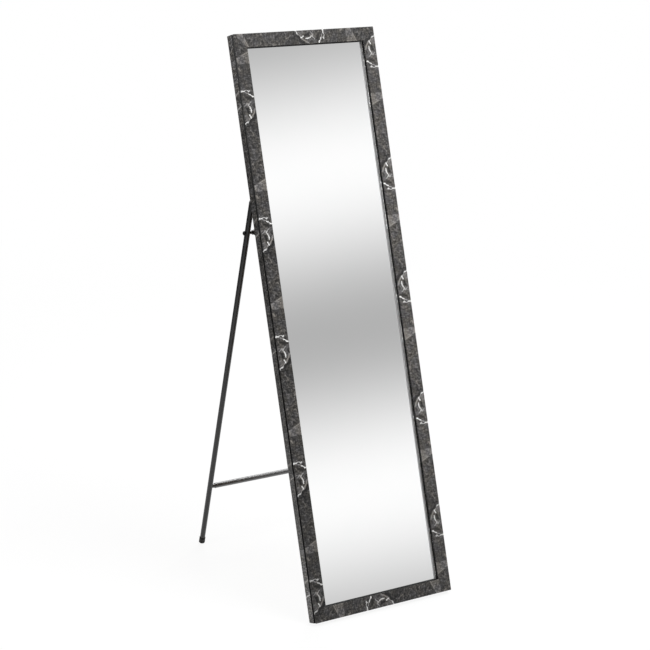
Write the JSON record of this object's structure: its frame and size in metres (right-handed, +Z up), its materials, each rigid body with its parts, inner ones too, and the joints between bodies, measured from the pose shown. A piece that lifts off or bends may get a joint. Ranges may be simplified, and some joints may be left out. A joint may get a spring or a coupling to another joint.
{
  "type": "standing mirror",
  "caption": "Full-length mirror in a dark marble-look frame that leans back on a folding easel stand of black tubes with rubber feet.",
  "frame": {"origin": "on the floor, centred across the width and between the front edge of the frame and the back of the feet, with the stand open", "axes": "+Z up, +X to the right as seen from the front, +Y to the back; the mirror faces -Y and leans back towards +Y"},
  "size_m": [0.35, 0.5392, 1.206],
  "materials": {
    "marble_foil": "dark grey marble-look foil, satin, over a foamed plastic moulding",
    "mirror_glass": "silvered float glass",
    "fibreboard": "bare brown fibreboard",
    "zinc_steel": "zinc plated",
    "black_steel": "black powder coat",
    "black_tube": "satin black powder coat",
    "black_screws": "black oxide",
    "black_plastic": "moulded black plastic",
    "black_rubber": "black rubber"
  },
  "bodies": {
    "mirror_frame": {"frame_rail_left": "marble_foil", "frame_rail_right": "marble_foil", "frame_rail_top": "marble_foil", "frame_rail_bottom": "marble_foil", "mirror_glass": "mirror_glass", "backing_board": "fibreboard", "backing_tabs": "zinc_steel", "corner_nails": "zinc_steel", "hinge_bracket_left": "black_steel", "hinge_bracket_right": "black_steel", "hinge_pin_left": "black_steel", "hinge_pin_right": "black_steel", "limit_arm_left": "black_steel", "limit_arm_right": "black_steel", "bracket_screws": "black_screws"},
    "stand": {"leg_left": "black_tube", "leg_right": "black_tube", "leg_plug_left": "black_steel", "leg_plug_right": "black_steel", "crossbar": "black_tube", "crossbar_plug_left": "black_tube", "crossbar_plug_right": "black_tube", "foot_cap_left": "black_rubber", "foot_cap_right": "black_rubber", "limit_bolt_left": "black_screws", "limit_bolt_right": "black_screws", "bolt_spacers": "black_plastic", "bolt_washers": "black_screws", "lock_nuts": "black_screws"}
  },
  "joints": [
    {"name": "stand_fold", "type": "hinge", "parent": "mirror_frame", "child": "stand", "pos_m": [0, 0.02283, 0.86799], "axis": [1, 0, 0], "range_deg": [-32, 0]}
  ]
}
